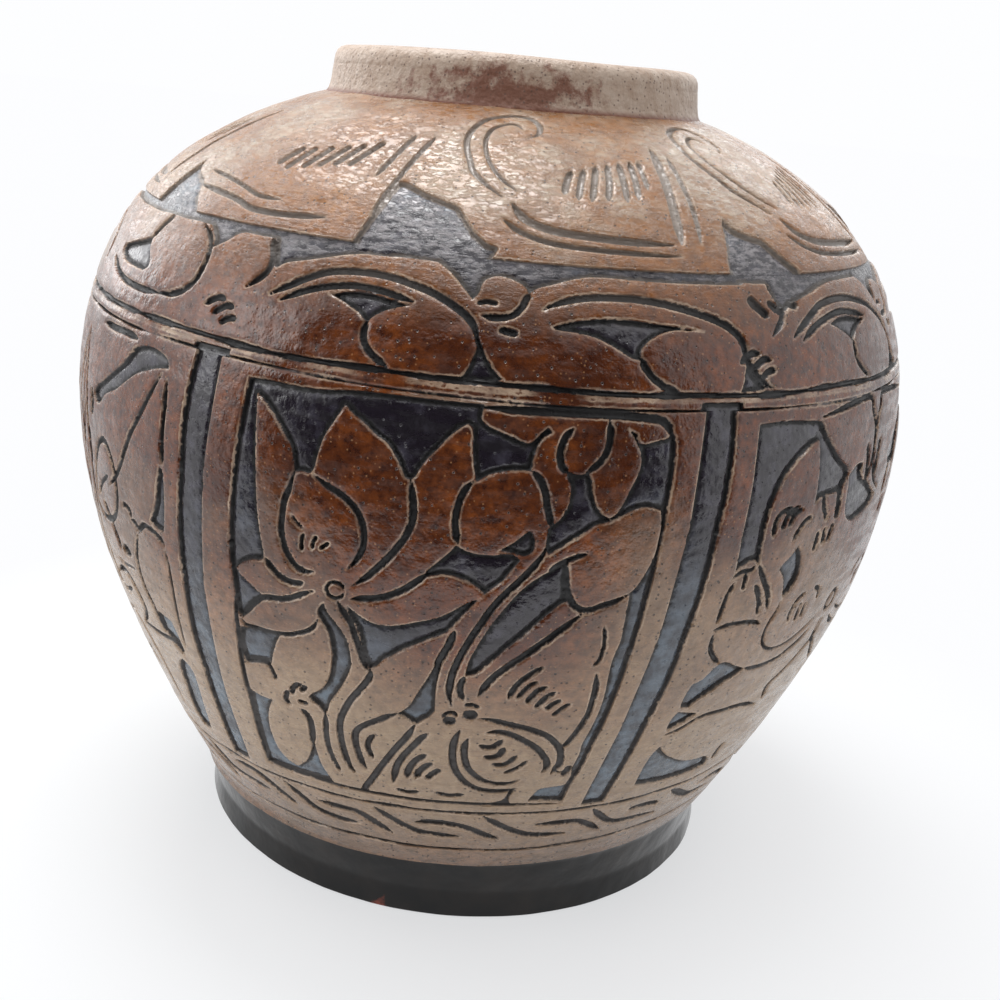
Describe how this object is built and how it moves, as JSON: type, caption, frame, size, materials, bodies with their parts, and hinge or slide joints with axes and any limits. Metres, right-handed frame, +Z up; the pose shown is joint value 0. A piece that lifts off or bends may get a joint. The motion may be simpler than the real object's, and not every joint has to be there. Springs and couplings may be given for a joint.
{
  "type": "martaban jar",
  "caption": "Wide-shouldered stoneware storage jar with a short collar, a rolled lip, a narrow foot and a carved brown glaze coat of panels, scrolls and lappets.",
  "frame": {"origin": "centre of the foot's resting face, on the jar's axis", "axes": "+Z up along the jar's axis; -Y towards the front panel, the one with the flower and the leaves; +X to the right as the front is seen"},
  "size_m": [0.3998, 0.4, 0.3827],
  "materials": {
    "clay": "matte",
    "slip": "matte",
    "glaze": "glossy",
    "foot_glaze": "glossy",
    "rim_glaze": "satin"
  },
  "bodies": {
    "root": {"base_slab": "clay", "belly_wall": "clay", "coat_foot_band": "glaze", "coat_fret_band": "glaze", "coat_lappet_1": "glaze", "coat_lappet_2": "glaze", "coat_lappet_3": "glaze", "coat_lappet_4": "glaze", "coat_lappet_5": "glaze", "coat_lappet_6": "glaze", "coat_lappet_7": "glaze", "coat_lappet_8": "glaze", "coat_panel_1": "glaze", "coat_panel_2": "glaze", "coat_panel_3": "glaze", "coat_panel_4": "glaze", "coat_panel_5": "glaze", "coat_panel_6": "glaze", "coat_rail": "glaze", "coat_scroll_band": "glaze", "collar": "rim_glaze", "crown_slip": "slip", "crown_wall": "clay", "foot_ring": "foot_glaze", "foot_slip": "slip", "lower_slip": "slip", "lower_wall": "clay", "neck_slip": "slip", "rim_lip": "rim_glaze", "shoulder_wall": "clay", "slab_slip": "slip", "upper_slip": "slip"}
  },
  "joints": []
}
